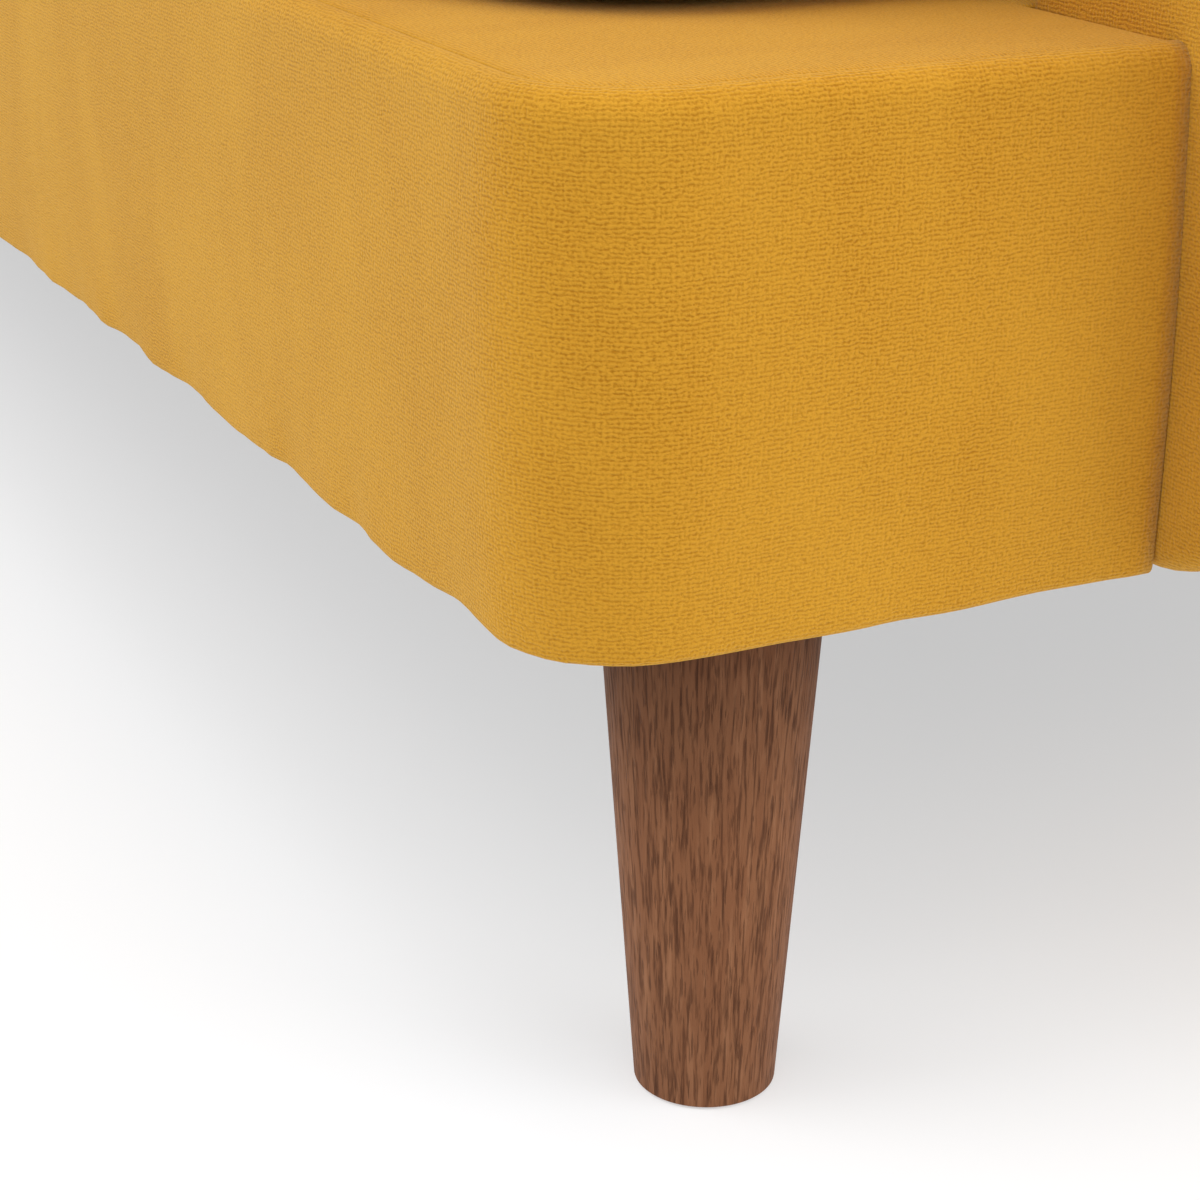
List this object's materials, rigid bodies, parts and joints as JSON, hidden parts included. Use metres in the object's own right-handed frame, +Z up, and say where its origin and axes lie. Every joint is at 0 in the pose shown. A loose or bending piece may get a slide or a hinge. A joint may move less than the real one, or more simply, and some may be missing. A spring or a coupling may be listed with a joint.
{
  "type": "sofa",
  "caption": "Upholstered sofa with a boxed velvet base, set-back arms, raked back, loose seat and back cushions, on round tapered wooden legs.",
  "frame": {"origin": "on the floor under the middle of the sofa's bounding box", "axes": "+X along the seat to the sitter's left, as seen from the front to the right; +Z up; the seat faces -Y"},
  "size_m": [1.9, 0.86, 0.8439],
  "materials": {
    "mustard_velvet": "matte",
    "leg_wood": "satin",
    "zinc_steel": "satin",
    "glide_plastic": "matte",
    "spring_steel": "satin",
    "grey_felt": "matte",
    "foam": "matte",
    "black_nonwoven": "matte",
    "webbing": "matte",
    "hardboard": "matte",
    "frame_timber": "matte"
  },
  "bodies": {
    "frame": {"back_bottom_rail": "frame_timber", "back_centre_post": "frame_timber", "back_cover": "mustard_velvet", "back_left_post": "frame_timber", "back_padding": "foam", "back_right_post": "frame_timber", "back_top_rail": "frame_timber", "back_webbing": "webbing", "base_border_cover": "mustard_velvet", "base_padding": "foam", "centre_leg": "leg_wood", "centre_rail": "frame_timber", "deck_cover": "mustard_velvet", "deck_foam": "foam", "dust_cover": "black_nonwoven", "foot_glides": "glide_plastic", "frame_bolts": "zinc_steel", "front_left_leg": "leg_wood", "front_rail": "frame_timber", "front_right_leg": "leg_wood", "insulator_felt": "grey_felt", "left_arm_bottom_rail": "frame_timber", "left_arm_cover": "mustard_velvet", "left_arm_front_board": "frame_timber", "left_arm_hardboard": "hardboard", "left_arm_padding": "foam", "left_arm_rear_board": "frame_timber", "left_arm_top_rail": "frame_timber", "left_side_rail": "frame_timber", "left_wing_rail": "frame_timber", "leg_blocks": "frame_timber", "leg_bolts": "zinc_steel", "rear_left_leg": "leg_wood", "rear_rail": "frame_timber", "rear_right_leg": "leg_wood", "right_arm_bottom_rail": "frame_timber", "right_arm_cover": "mustard_velvet", "right_arm_front_board": "frame_timber", "right_arm_hardboard": "hardboard", "right_arm_padding": "foam", "right_arm_rear_board": "frame_timber", "right_arm_top_rail": "frame_timber", "right_side_rail": "frame_timber", "right_wing_rail": "frame_timber", "seat_spring_1": "spring_steel", "seat_spring_2": "spring_steel", "seat_spring_3": "spring_steel", "seat_spring_4": "spring_steel", "seat_spring_5": "spring_steel", "seat_spring_6": "spring_steel", "seat_spring_7": "spring_steel", "seat_spring_8": "spring_steel", "spring_clips": "spring_steel", "spring_rail": "frame_timber", "spring_tie_wires": "spring_steel", "wing_back_rails": "frame_timber"},
    "left_seat_cushion": {"left_seat_cushion": "mustard_velvet"},
    "right_seat_cushion": {"right_seat_cushion": "mustard_velvet"},
    "left_back_cushion": {"left_back_cushion": "mustard_velvet"},
    "right_back_cushion": {"right_back_cushion": "mustard_velvet"}
  },
  "joints": [
    {"name": "left_seat_cushion_out", "type": "slide", "parent": "frame", "child": "left_seat_cushion", "axis": [0, -1, 0], "range_m": [0, 0.25]},
    {"name": "left_back_cushion_up", "type": "slide", "parent": "frame", "child": "left_back_cushion", "axis": [0, 0, 1], "range_m": [0, 0.25]},
    {"name": "right_seat_cushion_out", "type": "slide", "parent": "frame", "child": "right_seat_cushion", "axis": [0, -1, 0], "range_m": [0, 0.25]},
    {"name": "right_back_cushion_up", "type": "slide", "parent": "frame", "child": "right_back_cushion", "axis": [0, 0, 1], "range_m": [0, 0.25]}
  ]
}
